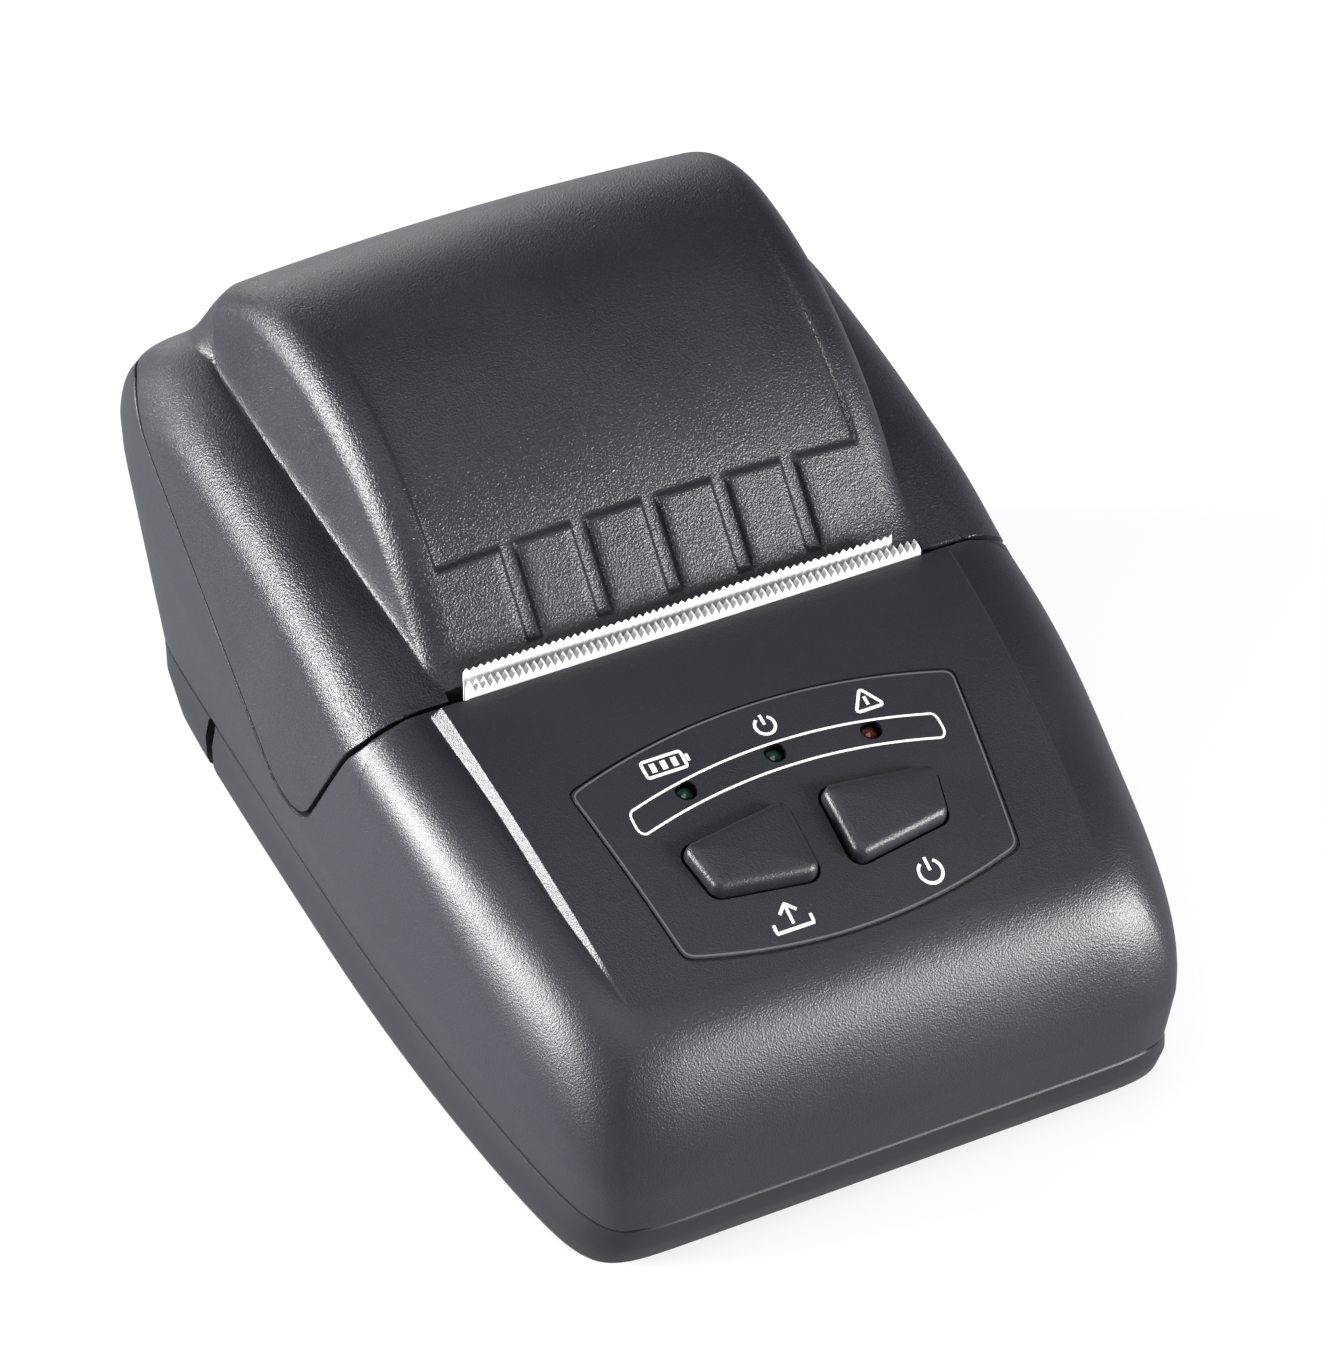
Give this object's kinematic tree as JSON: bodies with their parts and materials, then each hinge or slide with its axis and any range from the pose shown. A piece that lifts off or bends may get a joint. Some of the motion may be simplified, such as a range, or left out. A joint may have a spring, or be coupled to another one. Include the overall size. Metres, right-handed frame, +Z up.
{
  "type": "receipt printer",
  "caption": "Portable thermal receipt printer: tray and panel shells, hinged domed paper lid, keys, lamps, tear bar and geared paper feed",
  "frame": {"origin": "on the table under the middle of the body's outline", "axes": "X to the right seen from the front, Y from the nose to the rear, Z up"},
  "size_m": [0.0904, 0.138, 0.0732],
  "materials": {
    "shell": "fine spark-eroded charcoal",
    "lid": "coarser spark-eroded charcoal",
    "overlay": "matt printed film",
    "green_lens": "clear tinted",
    "red_lens": "clear tinted",
    "keys": "satin charcoal",
    "tear_bar": "white, toothed edge",
    "paper": "smooth white paper",
    "card": "grey-brown card",
    "inner_plastic": "plain moulded",
    "steel": "turned or drawn",
    "chassis": "pressed sheet",
    "platen_rubber": "ground",
    "feet": "moulded",
    "gear_plastic": "moulded, waxy",
    "pinion": "cut",
    "heat_sink": "extruded",
    "ceramic": "glazed",
    "motor_can": "drawn can",
    "board": "solder resist",
    "black_plastic": "moulded",
    "battery": "shrink sleeve"
  },
  "bodies": {
    "base": {"base_tray": "shell", "front_housing": "shell", "control_overlay": "overlay", "lamp_charge": "green_lens", "lamp_power": "green_lens", "lamp_error": "red_lens", "tear_bar": "tear_bar", "paper_tongue": "paper", "paper_bin": "inner_plastic", "mechanism_frame": "chassis", "print_head": "heat_sink", "head_ceramic": "ceramic", "head_springs": "steel", "stepper_motor": "motor_can", "idler_axle": "steel", "main_board": "board", "key_board": "board", "key_switches": "black_plastic", "battery_pack": "battery", "charge_jack": "black_plastic", "data_port": "steel", "hinge_brackets": "shell", "hinge_pins": "steel", "rubber_feet": "feet", "case_screws": "steel", "frame_screws": "steel"},
    "lid": {"lid_shell": "lid", "hinge_barrel": "shell", "platen_bracket": "inner_plastic", "platen_bushings": "gear_plastic"},
    "platen": {"platen_shaft": "steel", "platen_rubber": "platen_rubber", "platen_gear": "gear_plastic"},
    "idler": {"idler_gear": "gear_plastic"},
    "pinion": {"motor_shaft": "steel", "motor_pinion": "pinion"},
    "roll": {"paper_roll": "paper", "roll_core": "card"},
    "feed_button": {"feed_key": "keys"},
    "power_button": {"power_key": "keys"}
  },
  "joints": [
    {"name": "lid_hinge", "type": "hinge", "parent": "base", "child": "lid", "pos_m": [0, 0.06484, 0.049], "axis": [-1, 0, 0], "range_deg": [0, 90]},
    {"name": "platen_spin", "type": "hinge", "parent": "lid", "child": "platen", "pos_m": [0, -0.00645, 0.0415], "axis": [1, 0, 0], "continuous": true},
    {"name": "idler_spin", "type": "hinge", "parent": "base", "child": "idler", "pos_m": [0, -0.00853, 0.02968], "axis": [1, 0, 0], "continuous": true},
    {"name": "pinion_spin", "type": "hinge", "parent": "base", "child": "pinion", "pos_m": [0, -0.01625, 0.02049], "axis": [1, 0, 0], "continuous": true},
    {"name": "roll_spin", "type": "hinge", "parent": "base", "child": "roll", "pos_m": [0, 0.033, 0.0446], "axis": [1, 0, 0], "continuous": true},
    {"name": "feed_press", "type": "slide", "parent": "base", "child": "feed_button", "axis": [0, 0.3285, -0.9445], "range_m": [0, 0.0009], "stiffness_N_per_m": 800},
    {"name": "power_press", "type": "slide", "parent": "base", "child": "power_button", "axis": [0, 0.3285, -0.9445], "range_m": [0, 0.0009], "stiffness_N_per_m": 800}
  ],
  "couplings": [
    {"joint": "platen_spin", "follows": "roll_spin", "ratio": 4.9167},
    {"joint": "idler_spin", "follows": "roll_spin", "ratio": -1.6389},
    {"joint": "pinion_spin", "follows": "roll_spin", "ratio": 4.9167}
  ]
}
